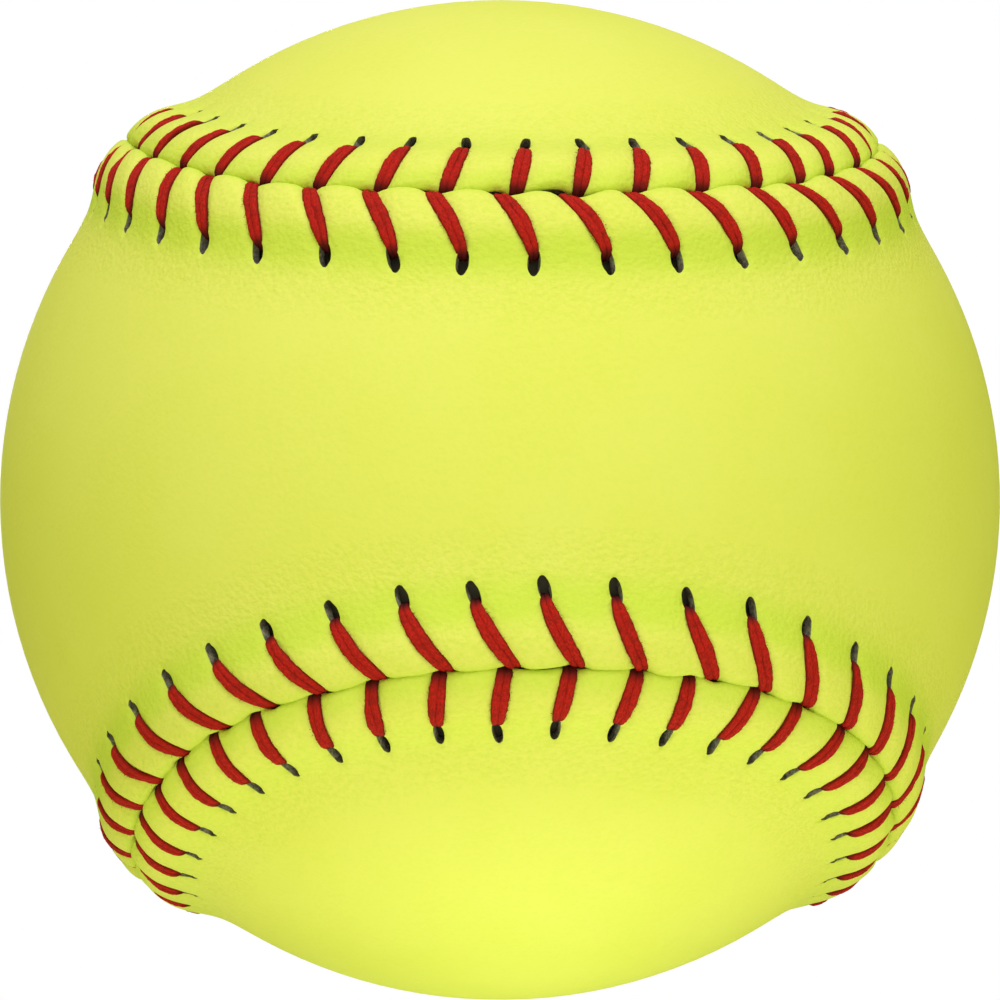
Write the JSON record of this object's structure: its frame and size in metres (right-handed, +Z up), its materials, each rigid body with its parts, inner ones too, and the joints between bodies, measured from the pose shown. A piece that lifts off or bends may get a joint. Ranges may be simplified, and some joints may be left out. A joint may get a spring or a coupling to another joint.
{
  "type": "softball",
  "caption": "Optic yellow softball with a two-panel leather cover closed by raised red hand stitching over a moulded core.",
  "frame": {"origin": "centre of the ball", "axes": "+Z up, -Y towards the viewer: the front panel's waist faces -Y and the back panel's waist faces +Y"},
  "size_m": [0.0962, 0.0962, 0.0962],
  "materials": {
    "cover_leather": "satin",
    "seam_thread": "matte",
    "cement": "matte",
    "core_foam": "matte"
  },
  "bodies": {
    "root": {"core": "core_foam", "cement_coat": "cement", "front_cover_panel": "cover_leather", "back_cover_panel": "cover_leather", "first_thread": "seam_thread", "second_thread": "seam_thread"}
  },
  "joints": []
}
